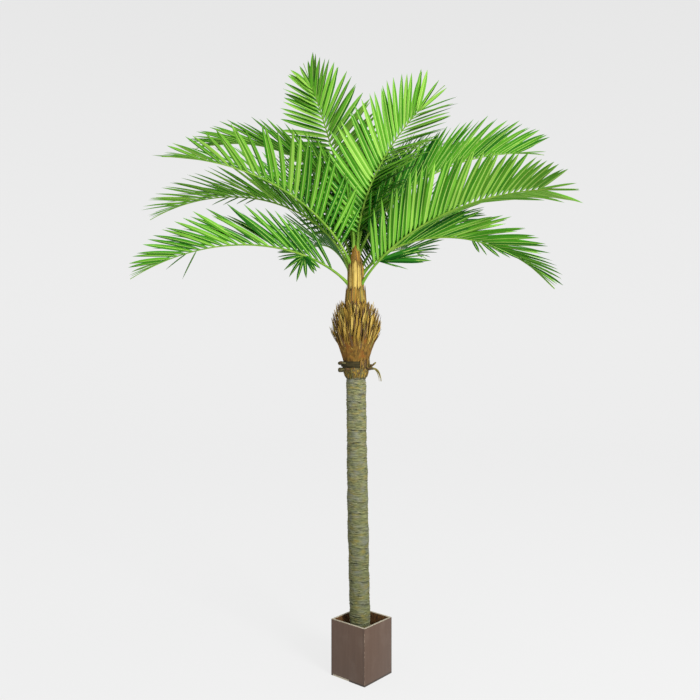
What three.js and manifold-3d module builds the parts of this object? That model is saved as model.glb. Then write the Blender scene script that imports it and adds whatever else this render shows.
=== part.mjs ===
// Artificial majesty palm in a square planter box, about 3 m tall.
// Millimetres, +Z up. The origin is the centre of the box's underside, and the box is square to X and Y.
// The palm itself is modelled in its own turned group: there the crown's widest side lies along X.
import * as THREE from 'three';
import Module from 'manifold-3d';
import { mergeVertices } from 'three/addons/utils/BufferGeometryUtils.js';

const wasm = await Module();
wasm.setup();

// Gap kept between two pieces that touch on the real palm
const GAP = 0.3;

// Planter box: four boards on a floor board, with a hard fill that holds the foot of the trunk
const BOX_SIDE = 208;
const BOX_HEIGHT = 272;
const BOARD = 10;
const FILL_TOP = 150;

// The palm's turn on its box, in degrees, and the bow of its axis to one side
const PALM_TURN = 40.5;
const BOW = 29;
const BOW_HEIGHT = 2050;

// Trunk: radii at its foot, middle and top, and the ridges of its ringed bark
const TRUNK_TOP = 1436;
const TRUNK_FOOT_RADIUS = 49;
const TRUNK_MIDDLE_RADIUS = 50.5;
const TRUNK_TOP_RADIUS = 45.5;
const TRUNK_RINGS = 30;
const TRUNK_RIDGE = 1.6;
const TRUNK_SIDES = 16;

// Collar of loose fibre between trunk and boot: it flares upward, and one long strip hangs over it
const COLLAR_TOP = 1506;
const COLLAR_PROFILE = [[49, TRUNK_TOP + GAP], [61, 1462], [70, 1486], [62, COLLAR_TOP - GAP]];
const COLLAR_FLAKES = 8;
const STRIP_CURVE = [[52, 1474], [112, 1488], [124, 1416]];
const STRIP_WIDTH = 13;
const STRIP_THICKNESS = 6;

// Boot: a bulb of old leaf bases, with their cut stubs standing out of it
const BOOT_TOP = 1809;
const BOOT_PROFILE = [
  [58, COLLAR_TOP],
  [72, 1545],
  [88, 1592],
  [96, 1650],
  [92, 1700],
  [75, 1756],
  [58, BOOT_TOP],
];
const STUB_ROWS = [
  { height: 1542, count: 10, length: 80, lean: 20 },
  { height: 1582, count: 12, length: 92, lean: 22 },
  { height: 1622, count: 13, length: 100, lean: 24 },
  { height: 1662, count: 13, length: 108, lean: 22 },
  { height: 1702, count: 12, length: 98, lean: 16 },
  { height: 1745, count: 11, length: 80, lean: 8 },
];
const STUB_RADIUS = 10;

// Column of young leaf bases, which carries the fronds
const COLUMN_PROFILE = [
  [57, BOOT_TOP + GAP],
  [50, 1872],
  [43, 1935],
  [41, 1985],
  [36, 2020],
  [27, 2052],
  [14, 2078],
];
const COLUMN_SIDES = 24;

// Leaflets of the fronds at the back: angle to the rib and lift off the blade, at the frond's base and end
const LEAF_ANGLE = [60, 28];
const LEAF_LIFT = [50, 24];

// Fronds, each on a curve in an upright plane: name, azimuth, start, rise, end, length, roll, angle and lift.
// Azimuth is the compass side of that plane, from +X to +Y, and start is the height on the column. Rise and
// end are the slopes at both ends, length follows the curve, and a roll turns the blade about the rib. Angle
// and lift are those of the leaflets, at the frond's base and at its end.
const FRONDS = [
  ['frond_low_left', 190, 1885, 50, -34, 1105, 0, [30, 44], [60, 13]],
  ['frond_middle_left', 178, 1950, 79, -30, 1150, 0, [31, 26], [40, 24]],
  ['frond_upper_left', 210, 1985, 67, -7, 1062, 0, [62, 24], [50, 10]],
  ['frond_top_left', 137, 2060, 79, 64, 1062, -73, [80, 20], [0, 8]],
  ['frond_front', 335, 2050, 95, 34, 892, 96, [60, 31], [33, 10]],
  ['frond_upper_right', 17, 2030, 73, -2, 1240, 0, [58, 30], [38, 46]],
  ['frond_middle_right', 328, 1885, 57, -9, 1146, -22, [48, 40], [42, 4]],
  ['frond_low_right', 356, 1930, 60, -49, 1050, 0, [19, 28], [62, 6]],
  ['frond_upper_back_left', 174, 2052, 101, -14, 1090, 0, [28, 20], [26, 10]],
  ['frond_low_back_right', 65, 1900, 42, -8, 1060, 0, LEAF_ANGLE, LEAF_LIFT],
  ['frond_low_back_left', 112, 1900, 56, -22, 1060, 0, LEAF_ANGLE, LEAF_LIFT],
  ['frond_middle_back_left', 128, 1990, 76, -2, 1040, 0, LEAF_ANGLE, LEAF_LIFT],
  ['frond_middle_back', 88, 1965, 64, -20, 1120, 0, LEAF_ANGLE, LEAF_LIFT],
  ['frond_middle_back_right', 46, 1955, 60, -12, 1090, 0, LEAF_ANGLE, LEAF_LIFT],
  ['frond_upper_back_right', 58, 2040, 80, 2, 1150, 0, LEAF_ANGLE, LEAF_LIFT],
  ['frond_upper_back', 100, 2050, 84, 2, 1150, 0, LEAF_ANGLE, LEAF_LIFT],
].map(([name, azimuth, start, rise, end, length, roll, angle, lift]) => (
  { name, azimuth, start, rise, end, length, roll, angle, lift }
));
const SLOPE_EASE = 0.7;
const CURVE_STEP = 5;

// Rib of a frond: its section at the base and at the end, and its bare share at the base
const RIB_BASE = 12;
const RIB_END = 4;
const BARE_SHARE = 0.1;

// Leaflets: pairs on each rib, and one that ends it. Each stands for about two of the real ones.
const LEAF_PAIRS = 18;
const LEAF_LONGEST = 310;
const LEAF_LONGEST_AT = 0.35;
const LEAF_SHORT_AT_BASE = 0.25;
const LEAF_SHORT_AT_END = 0.38;
const LEAF_FOOT = 18;
const LEAF_WIDTH = 32;
const LEAF_THICKNESS = 3.2;
const LEAF_WIDEST_AT = 0.3;
const END_LEAF_LENGTH = 170;
const LEAF_TRIES = [1, 0.75, 0.5];
const LEAF_CLEARANCE = 0.8;

// Colours
const brown = new THREE.MeshStandardMaterial({ color: 0x6b584d, roughness: 0.55, metalness: 0 });
const cement = new THREE.MeshStandardMaterial({ color: 0x8a7660, roughness: 0.9, metalness: 0 });
const bark = new THREE.MeshStandardMaterial({ color: 0x6f7360, roughness: 0.9, metalness: 0 });
const darkFibre = new THREE.MeshStandardMaterial({ color: 0x4f4733, roughness: 0.95, metalness: 0 });
const goldenFibre = new THREE.MeshStandardMaterial({ color: 0xa9712f, roughness: 0.9, metalness: 0 });
const strippedBase = new THREE.MeshStandardMaterial({ color: 0xc08a44, roughness: 0.85, metalness: 0 });
const leafGreen = new THREE.MeshStandardMaterial({ color: 0x5cab2c, roughness: 0.5, metalness: 0 });

const radians = THREE.MathUtils.degToRad;
const mix = THREE.MathUtils.lerp;

// A fixed sequence of numbers from 0 to 1, for the uneven bark and stubs
let seed = 7;
function random() {
  seed = (seed * 16807) % 2147483647;
  return seed / 2147483647;
}

function spread(amount) {
  return (random() * 2 - 1) * amount;
}

// Where the palm's axis is at a height
function axisX(z) {
  const below = 1 - Math.min(z, BOW_HEIGHT) / BOW_HEIGHT;
  return -BOW * (1 - below * below);
}

// Shifts a shape that was made round the Z axis onto the palm's bowed axis
function bow(geometry) {
  const position = geometry.attributes.position;
  for (let i = 0; i < position.count; i += 1) {
    position.setX(i, position.getX(i) + axisX(position.getZ(i)));
  }
  return geometry;
}

// Keeps only the corners of a shape, each of them once
function welded(geometry) {
  const bare = geometry.clone();
  bare.deleteAttribute('normal');
  bare.deleteAttribute('uv');
  return mergeVertices(bare, 1e-4);
}

function toSolid(geometry) {
  const shared = welded(geometry);
  const mesh = new wasm.Mesh({
    numProp: 3,
    vertProperties: new Float32Array(shared.attributes.position.array),
    triVerts: new Uint32Array(shared.index.array),
  });
  return new wasm.Manifold(mesh);
}

function toGeometry(solid) {
  const mesh = solid.getMesh();
  const geometry = new THREE.BufferGeometry();
  geometry.setAttribute('position', new THREE.BufferAttribute(new Float32Array(mesh.vertProperties), 3));
  geometry.setIndex(new THREE.BufferAttribute(new Uint32Array(mesh.triVerts), 1));
  return geometry;
}

// A closed turned shape from radius and height pairs, listed upward
function turned(profile, sides) {
  const bottom = profile[0][1];
  const top = profile[profile.length - 1][1];
  const outline = [[0, bottom], ...profile, [0, top]];
  const points = outline.map(([radius, height]) => new THREE.Vector2(radius, height));
  return welded(new THREE.LatheGeometry(points, sides).rotateX(Math.PI / 2));
}

// Radius of a profile at a height
function radiusAt(profile, height) {
  for (let i = 1; i < profile.length; i += 1) {
    const [lowRadius, low] = profile[i - 1];
    const [highRadius, high] = profile[i];
    if (height <= high) {
      return mix(lowRadius, highRadius, (height - low) / (high - low));
    }
  }
  return profile[profile.length - 1][0];
}

const mesh = (name, geometry, material) => {
  const piece = new THREE.Mesh(geometry, material);
  piece.name = name;
  return piece;
};

// Planter box, open at the top
function planterBox() {
  const inside = BOX_SIDE - 2 * BOARD;
  const outer = new THREE.BoxGeometry(BOX_SIDE, BOX_SIDE, BOX_HEIGHT).translate(0, 0, BOX_HEIGHT / 2);
  const depth = BOX_HEIGHT - BOARD;
  const inner = new THREE.BoxGeometry(inside, inside, 2 * depth).translate(0, 0, BOARD + depth);
  return toGeometry(toSolid(outer).subtract(toSolid(inner)));
}

// Hard fill in the box
function planterFill() {
  const side = BOX_SIDE - 2 * BOARD - 2 * GAP;
  const bottom = BOARD + GAP;
  const height = FILL_TOP - bottom;
  return new THREE.BoxGeometry(side, side, height).translate(0, 0, bottom + height / 2);
}

// Trunk with a slight swelling at half height and a ridge at each ring of its bark
function trunk() {
  const foot = FILL_TOP + GAP;
  const height = TRUNK_TOP - foot;
  const profile = [];
  for (let ring = 0; ring < TRUNK_RINGS; ring += 1) {
    for (const [share, ridge] of [[0, 0], [0.72, 1]]) {
      const t = (ring + share) / TRUNK_RINGS;
      const lower = mix(TRUNK_FOOT_RADIUS, TRUNK_MIDDLE_RADIUS, Math.min(1, 2 * t));
      const radius = t < 0.5 ? lower : mix(TRUNK_MIDDLE_RADIUS, TRUNK_TOP_RADIUS, 2 * t - 1);
      profile.push([radius - TRUNK_RIDGE / 2 + ridge * TRUNK_RIDGE + spread(0.5), foot + t * height]);
    }
  }
  profile.push([TRUNK_TOP_RADIUS, TRUNK_TOP]);
  return bow(turned(profile, TRUNK_SIDES));
}

// A flat pointed flake or a round stub that leans out of a turned shape, its foot sunk in it
function spike({ radius, height, length, side, lean, width, thickness, corners }) {
  const cone = new THREE.ConeGeometry(1, length, corners).rotateX(Math.PI / 2);
  cone.scale(thickness, width, 1).translate(0, 0, length / 2);
  cone.rotateY(radians(lean)).translate(radius, 0, height);
  return cone.rotateZ(side);
}

function withSpikes(profile, sides, spikes, ...others) {
  let solid = toSolid(turned(profile, sides));
  for (const other of others) {
    solid = solid.add(other);
  }
  for (const one of spikes) {
    solid = solid.add(toSolid(spike(one)));
  }
  return bow(toGeometry(solid));
}

// Collar: a flaring ring of fibre with flakes that stand off it, and the long strip
function collar() {
  const widest = COLLAR_PROFILE[2];
  const flakes = [];
  for (let i = 0; i < COLLAR_FLAKES; i += 1) {
    flakes.push({
      radius: widest[0] - 16,
      height: widest[1] - 6 + spread(7),
      length: 40 + spread(8),
      side: radians((360 / COLLAR_FLAKES) * (i + 0.5 + spread(0.2))),
      lean: 62 + spread(10),
      width: 19,
      thickness: 7,
      corners: 4,
    });
  }
  return withSpikes(COLLAR_PROFILE, COLUMN_SIDES, flakes, toSolid(strip()));
}

// A strip that narrows to a point along its curve
function strip() {
  const across = new THREE.Vector3(0, -1, 0);
  const ends = STRIP_CURVE.map(([radius, height]) => new THREE.Vector3(radius, 0, height));
  const curve = new THREE.QuadraticBezierCurve3(...ends);
  const faces = new Faces();
  const rings = [0, 0.3, 0.55, 0.8].map((share) => {
    const up = new THREE.Vector3().crossVectors(curve.getTangent(share), across);
    const left = 1 - share / 2;
    return faces.add(section(curve.getPoint(share), across, up, STRIP_WIDTH * left, STRIP_THICKNESS * left));
  });
  const first = rings[0];
  faces.quad(first[3], first[2], first[1], first[0]);
  for (let i = 1; i < rings.length; i += 1) {
    faces.walls(rings[i - 1], rings[i]);
  }
  faces.point(rings[rings.length - 1], faces.add([curve.getPoint(1)])[0]);
  return faces.geometry();
}

// Boot: staggered rows of stubs on the bulb
function boot() {
  const stubs = [];
  STUB_ROWS.forEach((row, index) => {
    for (let i = 0; i < row.count; i += 1) {
      stubs.push({
        radius: radiusAt(BOOT_PROFILE, row.height) - STUB_RADIUS,
        height: row.height,
        length: row.length * (1 + spread(0.12)),
        side: radians((360 / row.count) * (i + (index % 2) / 2 + spread(0.12))),
        lean: row.lean + spread(4),
        width: STUB_RADIUS * 1.4,
        thickness: STUB_RADIUS,
        corners: 5,
      });
    }
  });
  return withSpikes(BOOT_PROFILE, COLUMN_SIDES, stubs);
}

// Points and directions every few millimetres along a frond's curve
function frondPath({ azimuth, start, rise, end, length, roll, angle, lift }) {
  const outward = new THREE.Vector3(Math.cos(radians(azimuth)), Math.sin(radians(azimuth)), 0);
  const upward = new THREE.Vector3(0, 0, 1);
  const level = new THREE.Vector3().crossVectors(upward, outward);
  const wall = radiusAt(COLUMN_PROFILE, start) + GAP + (RIB_BASE / 2) * Math.sin(radians(rise));
  const point = new THREE.Vector3(axisX(start), 0, start).addScaledVector(outward, wall);
  const steps = Math.round(length / CURVE_STEP);
  const path = [];
  for (let i = 0; i <= steps; i += 1) {
    const share = i / steps;
    const slope = radians(rise + (end - rise) * share ** SLOPE_EASE);
    const along = outward.clone().multiplyScalar(Math.cos(slope)).addScaledVector(upward, Math.sin(slope));
    const side = level.clone().applyAxisAngle(along, radians(roll) * Math.min(1, share / BARE_SHARE));
    const normal = new THREE.Vector3().crossVectors(along, side);
    path.push({ point: point.clone(), along, side, normal, angle, lift });
    point.addScaledVector(along, length / steps);
  }
  return path;
}

// The place on a path at a share of its length
function placeAt(path, share) {
  const exact = share * (path.length - 1);
  const low = Math.min(Math.floor(exact), path.length - 2);
  const before = path[low];
  const after = path[low + 1];
  return {
    point: before.point.clone().lerp(after.point, exact - low),
    along: before.along.clone().lerp(after.along, exact - low).normalize(),
    side: before.side.clone().lerp(after.side, exact - low).normalize(),
    normal: before.normal.clone().lerp(after.normal, exact - low).normalize(),
    angle: before.angle,
    lift: before.lift,
  };
}

// The four corners of a flat section: right below, left below, left above and right above
function section(centre, across, up, width, depth) {
  const corner = (w, d) => {
    const sideways = centre.clone().addScaledVector(across, (w * width) / 2);
    return sideways.addScaledVector(up, (d * depth) / 2);
  };
  return [corner(-1, -1), corner(1, -1), corner(1, 1), corner(-1, 1)];
}

// Collects corners and faces of one closed shape
class Faces {
  constructor() {
    this.points = [];
    this.triangles = [];
  }

  add(points) {
    const first = this.points.length;
    this.points.push(...points);
    return points.map((_, i) => first + i);
  }

  quad(a, b, c, d) {
    this.triangles.push(a, b, c, a, c, d);
  }

  // Walls between two sections with the same number of corners, listed counterclockwise seen from the far one
  walls(near, far, skipped = []) {
    near.forEach((corner, i) => {
      const next = (i + 1) % near.length;
      if (!skipped.includes(i)) {
        this.quad(corner, near[next], far[next], far[i]);
      }
    });
  }

  // Walls from a section to a point
  point(near, tip) {
    near.forEach((corner, i) => this.triangles.push(corner, near[(i + 1) % near.length], tip));
  }

  geometry() {
    const geometry = new THREE.BufferGeometry();
    const numbers = this.points.flatMap((point) => point.toArray());
    geometry.setAttribute('position', new THREE.Float32BufferAttribute(numbers, 3));
    geometry.setIndex(this.triangles);
    return geometry;
  }
}

// One leaflet's widest section and tip, from the middle of its foot
function leafShape(place, foot, hand, share, scale, grown = 0) {
  const angle = radians(mix(...place.angle, share ** 2));
  const lift = radians(mix(...place.lift, share ** 2));
  const sideways = place.side.clone().multiplyScalar(hand * Math.cos(lift));
  sideways.addScaledVector(place.normal, Math.sin(lift));
  const out = place.along.clone().multiplyScalar(Math.cos(angle)).addScaledVector(sideways, Math.sin(angle));
  const across = place.along.clone().addScaledVector(out, -place.along.dot(out)).normalize();
  const face = new THREE.Vector3().crossVectors(across, out).multiplyScalar(hand).normalize();
  const shortBase = LEAF_SHORT_AT_BASE * Math.max(0, 1 - share / LEAF_LONGEST_AT) ** 2;
  const shortEnd = LEAF_SHORT_AT_END * Math.max(0, (share - LEAF_LONGEST_AT) / (1 - LEAF_LONGEST_AT)) ** 2;
  const length = LEAF_LONGEST * (1 - shortBase - shortEnd) * scale;
  const centre = foot.clone().addScaledVector(out, length * LEAF_WIDEST_AT);
  return {
    corners: handed(section(centre, across, face, LEAF_WIDTH + 2 * grown, LEAF_THICKNESS + 2 * grown), hand),
    tip: foot.clone().addScaledVector(out, length + 2 * grown),
  };
}

// Four corners listed for a leaflet on the left hand or the right hand of the rib
function handed([a, b, c, d], hand) {
  return hand > 0 ? [b, a, d, c] : [a, b, c, d];
}

// Foot of a leaflet: one side wall of the rib between two sections
function leafFoot(near, far, hand) {
  const wall = hand > 0 ? [near[1], far[1], far[2], near[2]] : [near[0], far[0], far[3], near[3]];
  return handed(wall, hand);
}

// A closed shape of one leaflet or one stretch of rib, for testing what it touches
function closed(near, far, tip) {
  const faces = new Faces();
  const a = faces.add(near);
  const b = faces.add(far);
  faces.walls(a, b);
  faces.quad(a[3], a[2], a[1], a[0]);
  if (tip) {
    faces.point(b, faces.add([tip])[0]);
  } else {
    faces.quad(b[0], b[1], b[2], b[3]);
  }
  const solid = toSolid(faces.geometry());
  const box = new THREE.Box3().setFromPoints(tip ? [...near, ...far, tip] : [...near, ...far]);
  return { solid, box };
}

// A frond's stations: where each leaflet's foot begins and ends along the rib
function stations(frond) {
  const path = frondPath(frond);
  const ribShare = 1 - END_LEAF_LENGTH / frond.length;
  const footShare = LEAF_FOOT / frond.length;
  const pitch = (ribShare - BARE_SHARE - footShare) / (LEAF_PAIRS - 1);
  const shares = [0];
  for (let i = 0; i < LEAF_PAIRS; i += 1) {
    shares.push(BARE_SHARE + i * pitch, BARE_SHARE + i * pitch + footShare);
  }
  return shares.map((share) => {
    const place = placeAt(path, share);
    const size = mix(RIB_BASE, RIB_END, share);
    return { place, corners: section(place.point, place.side, place.normal, size, size) };
  });
}

// All ribs come first, so that leaflets can be kept clear of them
const taken = [];
const ribs = FRONDS.map((frond) => {
  const rib = stations(frond);
  for (let i = 1; i < rib.length; i += 1) {
    taken.push({ owner: frond.name, ...closed(rib[i - 1].corners, rib[i].corners) });
  }
  return rib;
});
const columnSolid = toSolid(bow(turned(COLUMN_PROFILE, COLUMN_SIDES)));
const columnBox = new THREE.Box3().setFromPoints([
  new THREE.Vector3(-BOW - COLUMN_PROFILE[0][0], -COLUMN_PROFILE[0][0], BOOT_TOP),
  new THREE.Vector3(COLUMN_PROFILE[0][0], COLUMN_PROFILE[0][0], COLUMN_PROFILE[COLUMN_PROFILE.length - 1][1]),
]);
taken.push({ owner: 'column', solid: columnSolid, box: columnBox });

function isFree(candidate, owner) {
  return taken.every((other) => {
    const own = other.owner === owner;
    return own || !candidate.box.intersectsBox(other.box) || candidate.solid.intersect(other.solid).isEmpty();
  });
}

// One frond: a tapering rib with pairs of leaflets growing out of its side walls
function frondBody(frond, rib) {
  const faces = new Faces();
  const rings = rib.map((station) => faces.add(station.corners));
  faces.quad(rings[0][3], rings[0][2], rings[0][1], rings[0][0]);
  for (let i = 1; i < rib.length; i += 1) {
    const near = rib[i - 1];
    const far = rib[i];
    const hasLeaves = i > 1 && i % 2 === 0;
    const skipped = [];
    for (const hand of hasLeaves ? [1, -1] : []) {
      const share = (i / 2 - 1) / (LEAF_PAIRS - 1);
      const feet = leafFoot(near.corners, far.corners, hand);
      const foot = feet.reduce((sum, corner) => sum.add(corner), new THREE.Vector3()).divideScalar(4);
      const scale = LEAF_TRIES.find((size) => {
        const { corners, tip } = leafShape(near.place, foot, hand, share, size, LEAF_CLEARANCE);
        return isFree(closed(feet, corners, tip), frond.name);
      });
      if (scale) {
        const { corners, tip } = leafShape(near.place, foot, hand, share, scale);
        taken.push({ owner: frond.name, ...closed(feet, corners, tip) });
        const widest = faces.add(corners);
        faces.walls(leafFoot(rings[i - 1], rings[i], hand), widest);
        faces.point(widest, faces.add([tip])[0]);
        skipped.push(hand > 0 ? 1 : 3);
      }
    }
    faces.walls(rings[i - 1], rings[i], skipped);
  }
  const last = rib[rib.length - 1];
  const lastRing = rings[rings.length - 1];
  const middle = last.place.point.clone().addScaledVector(last.place.along, END_LEAF_LENGTH * LEAF_WIDEST_AT);
  const widest = faces.add(section(middle, last.place.side, last.place.normal, LEAF_WIDTH, LEAF_THICKNESS));
  faces.walls(lastRing, widest);
  const tip = last.place.point.clone().addScaledVector(last.place.along, END_LEAF_LENGTH);
  faces.point(widest, faces.add([tip])[0]);
  return faces.geometry();
}

const palm = new THREE.Group();
palm.rotation.z = radians(PALM_TURN);
palm.add(mesh('trunk', trunk(), bark));
palm.add(mesh('fibre_collar', collar(), darkFibre));
palm.add(mesh('crown_boot', boot(), goldenFibre));
palm.add(mesh('crown_column', bow(turned(COLUMN_PROFILE, COLUMN_SIDES)), strippedBase));
FRONDS.forEach((frond, i) => palm.add(mesh(frond.name, frondBody(frond, ribs[i]), leafGreen)));

const object = new THREE.Group();
object.add(mesh('planter_box', planterBox(), brown));
object.add(mesh('planter_fill', planterFill(), cement));
object.add(palm);

export default object;
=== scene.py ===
# %% [markdown]
# # An artificial majesty palm in a square box
#
# The palm is about 3 m tall. A trunk wrapped in ringed bark fibre stands in a box of brown
# laminated board. It carries a ragged collar, a thick boot of cut frond bases, a column of
# stripped fibre and sixteen fronds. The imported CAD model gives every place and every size.
# This lesson grows the finer pieces on it, in metres, and gives each its finish.

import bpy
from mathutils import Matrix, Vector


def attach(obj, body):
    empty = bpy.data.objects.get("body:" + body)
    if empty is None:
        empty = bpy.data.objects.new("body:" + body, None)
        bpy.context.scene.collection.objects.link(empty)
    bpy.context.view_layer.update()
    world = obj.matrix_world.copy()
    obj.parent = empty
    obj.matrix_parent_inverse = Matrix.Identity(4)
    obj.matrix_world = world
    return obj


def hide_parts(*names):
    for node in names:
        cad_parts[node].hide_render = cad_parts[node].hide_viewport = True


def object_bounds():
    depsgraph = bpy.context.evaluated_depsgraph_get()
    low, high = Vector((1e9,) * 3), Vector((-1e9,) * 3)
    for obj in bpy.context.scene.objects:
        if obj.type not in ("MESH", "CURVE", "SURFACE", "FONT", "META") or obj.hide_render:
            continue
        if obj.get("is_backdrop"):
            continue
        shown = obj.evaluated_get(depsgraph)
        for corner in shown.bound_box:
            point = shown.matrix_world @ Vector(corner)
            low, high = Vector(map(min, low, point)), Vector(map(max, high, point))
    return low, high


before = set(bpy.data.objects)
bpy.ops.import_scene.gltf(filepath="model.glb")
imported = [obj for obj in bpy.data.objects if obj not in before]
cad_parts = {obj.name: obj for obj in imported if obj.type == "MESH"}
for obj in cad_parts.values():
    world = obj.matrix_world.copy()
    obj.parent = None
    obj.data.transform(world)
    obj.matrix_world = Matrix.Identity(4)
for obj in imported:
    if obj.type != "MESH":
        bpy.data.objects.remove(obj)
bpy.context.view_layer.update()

# %%
# Blender's own tools, and the numbers that every piece shares
import math

import bmesh
import bpy
import numpy as np
from mathutils import Matrix, Vector, noise

MM = 0.001
TURN_ANGLE = math.radians(40.5)
TURN = Matrix.Rotation(TURN_ANGLE, 4, "Z")
BOW = 29 * MM
BOW_HEIGHT = 2050 * MM
UP = Vector((0, 0, 1))
FULL_TURN = 2 * math.pi
dice = np.random.default_rng(11)
vary = dice.uniform


def deal(tones):
    """Picks one of the tones."""
    return int(dice.choice(tones))


def axis_x(z):
    """Where the bowed palm's axis is at a height."""
    below = 1 - np.minimum(z, BOW_HEIGHT) / BOW_HEIGHT
    return -BOW * (1 - below * below)


def profile(heights, reaches):
    """An outline: heights, and how far from the axis it is at each, both given in millimetres."""
    return [v * MM for v in heights], [v * MM for v in reaches]


print("The palm's foot leans", round(float(axis_x(0.0) - axis_x(BOW_HEIGHT)) * 1000), "mm off its top")

# %% [markdown]
# ## Two ways of making a plant's pieces
#
# The bark, the boot and the column are skins: a closed drum, cut into many rings, whose
# corners are then pushed in and out. Strips, spikes and leaflets come in hundreds. They are
# one six-sided bar, made once with Blender's own operators, that is copied along hundreds of
# lines with NumPy and joined. Placing hundreds of objects by hand would be slower to build
# and slower to render.

# %%
# Finish a piece: its place in its mesh, its materials, and what it stands for
def finish_piece(name, mesh, materials, nodes=(), turned=True, crease=40):
    if turned:
        mesh.transform(TURN)
    for material in materials:
        mesh.materials.append(material)
    mesh.polygons.foreach_set("use_smooth", [True] * len(mesh.polygons))
    mesh.set_sharp_from_angle(angle=math.radians(crease))
    mesh.name = name
    piece = bpy.data.objects.new(name, mesh)
    bpy.context.scene.collection.objects.link(piece)
    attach(piece, "root")
    if nodes:
        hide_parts(*nodes)
    mesh.calc_loop_triangles()
    print(f"{name}: {len(mesh.loop_triangles)} triangles")


def to_mesh(shape, name):
    """Turns a bmesh into a mesh and frees it."""
    mesh = bpy.data.meshes.new(name)
    shape.to_mesh(mesh)
    shape.free()
    return mesh


# %%
# A drum of many rings, and the skins that it becomes
def drum(sides, rings):
    """A closed drum of radius 1 and height 1, with its foot at 0."""
    shape = bmesh.new()
    lift = Matrix.Translation((0, 0, 0.5))
    bmesh.ops.create_cone(
        shape, cap_ends=True, cap_tris=False, segments=sides, radius1=1, radius2=1, depth=1, matrix=lift
    )
    upright = [e for e in shape.edges if abs(e.verts[0].co.z - e.verts[1].co.z) > 0.5]
    bmesh.ops.subdivide_edges(shape, edges=upright, cuts=rings - 1, use_grid_fill=True)
    return shape


def skin(name, sides, rings, low, high, radius):
    """A drum between two heights, pushed out to radius(angle, height)."""
    mesh = to_mesh(drum(sides, rings), name)
    points = np.empty(len(mesh.vertices) * 3)
    mesh.vertices.foreach_get("co", points)
    points = points.reshape(-1, 3)
    angle = np.arctan2(points[:, 1], points[:, 0])
    height = low + points[:, 2] * (high - low)
    reach = radius(angle, height)
    points = np.stack([axis_x(height) + reach * np.cos(angle), reach * np.sin(angle), height], 1)
    mesh.vertices.foreach_set("co", points.ravel())
    return mesh


def grain(angle, height, round_scale, up_scale, shift):
    """Smooth noise from -1 to 1 on a skin, at its own scale round it and up it."""
    round_x, round_y = np.cos(angle) * round_scale, np.sin(angle) * round_scale
    spots = np.stack([round_x, round_y, height * up_scale + shift], 1)
    return np.array([noise.noise(Vector(spot)) for spot in spots])


def rough_skin(name, sides, rings, low, high, outline, grains):
    """A skin along an outline, between two heights in millimetres, that grains roughen.

    Each grain is its scale round and up, its shift, and its depth in millimetres.
    """

    def radius(angle, height):
        rough = sum(grain(angle, height, *scales) * depth for *scales, depth in grains)
        return np.interp(height, *outline) + rough * MM

    return skin(name, sides, rings, low * MM, high * MM, radius)


def second_above(mesh, height):
    """Gives the faces above a height the second of the mesh's materials."""
    above = [int(polygon.center.z > height) for polygon in mesh.polygons]
    mesh.polygons.foreach_set("material_index", above)


# %%
# A six-sided bar, and how its copies are laid along lines and joined
BAR_SIDES = 6
SIDE_ANGLE = math.radians(360 / BAR_SIDES)


def bar(rings):
    """The bar's corners, as side number and share of its length, and its faces with their side."""
    shape = drum(BAR_SIDES, rings)
    quarter = Matrix.Rotation(math.radians(90), 3, "Z")
    bmesh.ops.rotate(shape, cent=(0, 0, 0), matrix=quarter, verts=shape.verts)
    shape.verts.index_update()
    corner = []
    for vert in shape.verts:
        turn = math.atan2(vert.co.y, vert.co.x) / SIDE_ANGLE
        corner.append((round(turn) % BAR_SIDES, vert.co.z))
    faces = []
    for face in shape.faces:
        middle = face.calc_center_median()
        around = math.atan2(middle.y, middle.x) / SIDE_ANGLE
        side = int(math.floor(around)) % BAR_SIDES if len(face.verts) == 4 else -1
        faces.append(([vert.index for vert in face.verts], side))
    shape.free()
    side, share = zip(*corner)
    return np.array(side), np.array(share), faces


def joined(name, rings, section, outline, lines, tones):
    """Copies of the bar, joined. section is six corners in half widths, outline the width along it.

    Each line is (foot, along, face, length, width, bend, twist): bend is a vector that the
    tip moves by, twist turns the tip. tones(line number, side) gives a face its material.
    """
    side, share, faces = bar(rings)
    width_at = np.interp(share, *outline)
    corners = np.array(section)[side]
    ends = np.concatenate([[0], np.cumsum([len(face) for face, _ in faces])])
    loops = np.concatenate([face for face, _ in faces])
    points = []
    tone = []
    for number, (foot, along, face, length, width, bend, twist) in enumerate(lines):
        across = np.cross(face, along)
        turn = twist * share
        wide = corners[:, 0] * width_at * width / 2
        deep = corners[:, 1] * width_at * width / 2
        x = wide * np.cos(turn) - deep * np.sin(turn)
        y = wide * np.sin(turn) + deep * np.cos(turn)
        middle = foot + np.outer(share * length, along) + np.outer(share**2, bend)
        points.append(middle + np.outer(x, across) + np.outer(y, face))
        tone.extend(tones(number, face_side) for _, face_side in faces)
    mesh = bpy.data.meshes.new(name)
    count = len(side)
    mesh.vertices.add(count * len(lines))
    mesh.vertices.foreach_set("co", np.concatenate(points).ravel())
    mesh.loops.add(len(loops) * len(lines))
    mesh.loops.foreach_set("vertex_index", np.concatenate([loops + count * i for i in range(len(lines))]))
    mesh.polygons.add(len(faces) * len(lines))
    starts = np.concatenate([ends[:-1] + ends[-1] * i for i in range(len(lines))])
    mesh.polygons.foreach_set("loop_start", starts)
    mesh.polygons.foreach_set("material_index", tone)
    mesh.update(calc_edges=True)
    mesh.validate()
    return mesh


print("A bar of four rings has", len(bar(4)[0]), "corners")


# %%
# Lines for bars that stand on the palm, and the sections that a bar can have
def unit(vector):
    vector = np.asarray(vector, dtype=float)
    return vector / np.linalg.norm(vector)


def on_trunk(turn, reach, height):
    """A point off the palm's axis, and the direction outward there."""
    outward = np.array([math.cos(turn), math.sin(turn), 0])
    return np.array([axis_x(height), 0, height]) + outward * reach, outward


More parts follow.
